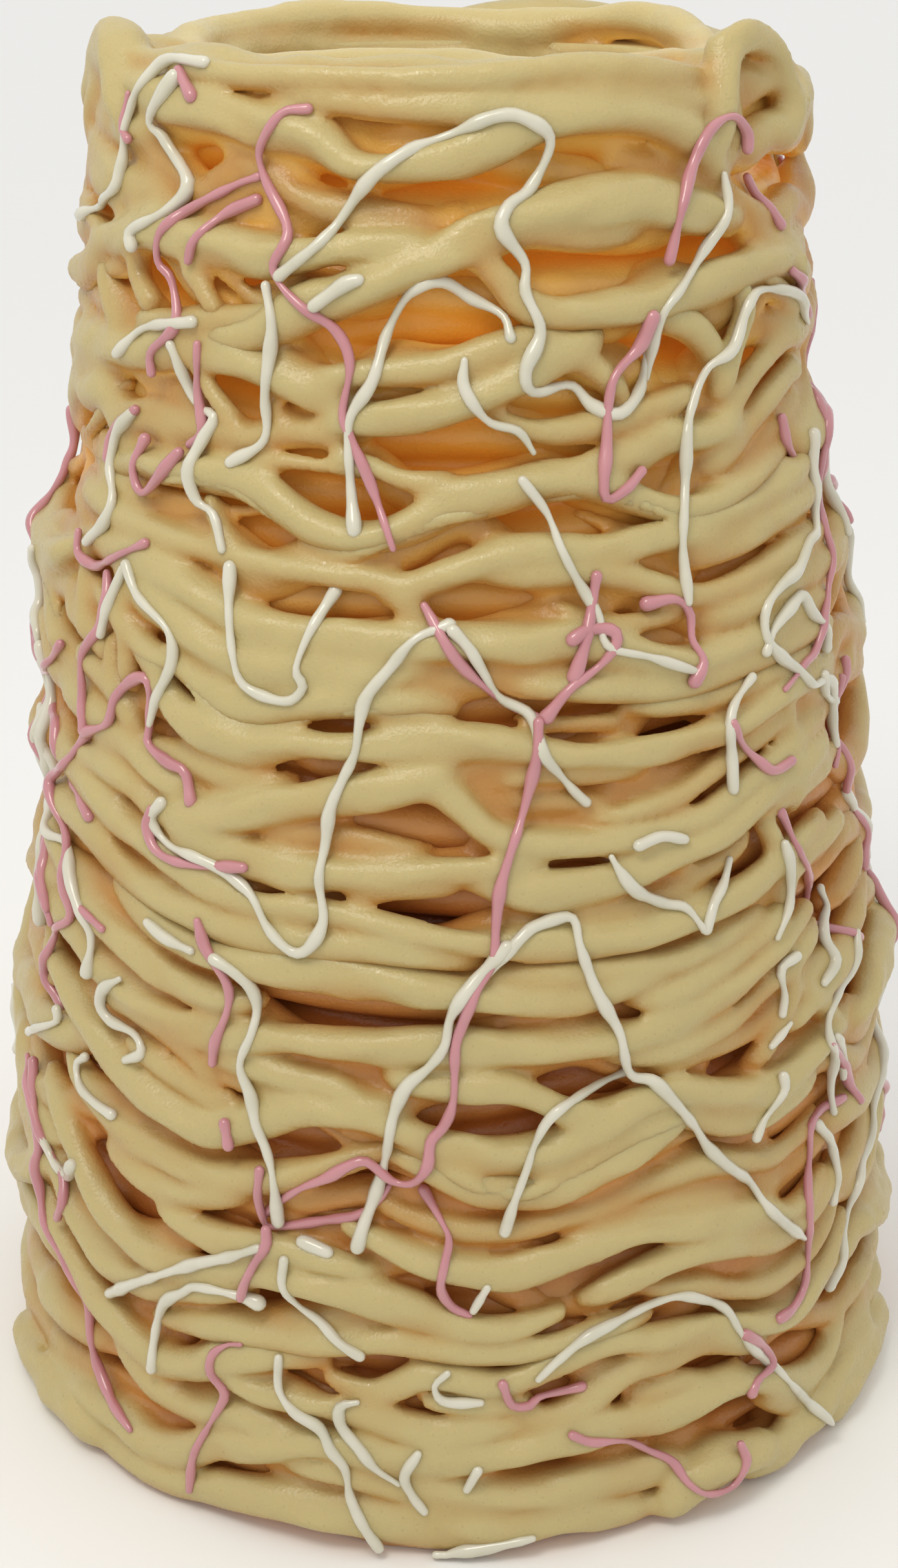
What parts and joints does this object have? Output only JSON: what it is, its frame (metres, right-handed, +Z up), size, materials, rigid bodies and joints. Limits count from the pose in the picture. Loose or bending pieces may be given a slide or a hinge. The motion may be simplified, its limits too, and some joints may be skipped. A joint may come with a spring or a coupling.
{
  "type": "spit cake",
  "caption": "Hollow tapered tower cake of batter threads baked on a turning spit, with lens-shaped gaps between the rings and thin icing drizzled over it.",
  "frame": {"origin": "centre of the cake's foot, on the surface that it stands on", "axes": "+Z up along the axis of the spit, -Y the side with the icing loops that the picture shows, +X to the right of that side"},
  "size_m": [0.2111, 0.2108, 0.3006],
  "materials": {
    "batter": "baked egg batter, set hard like meringue, satin skin, pale cream yellow, amber in the gaps",
    "white_icing": "set sugar icing, off-white, smooth with a soft gloss",
    "pink_icing": "set sugar icing, dusty pink, smooth with a soft gloss"
  },
  "bodies": {
    "root": {"spit_cake": "batter"}
  },
  "joints": []
}
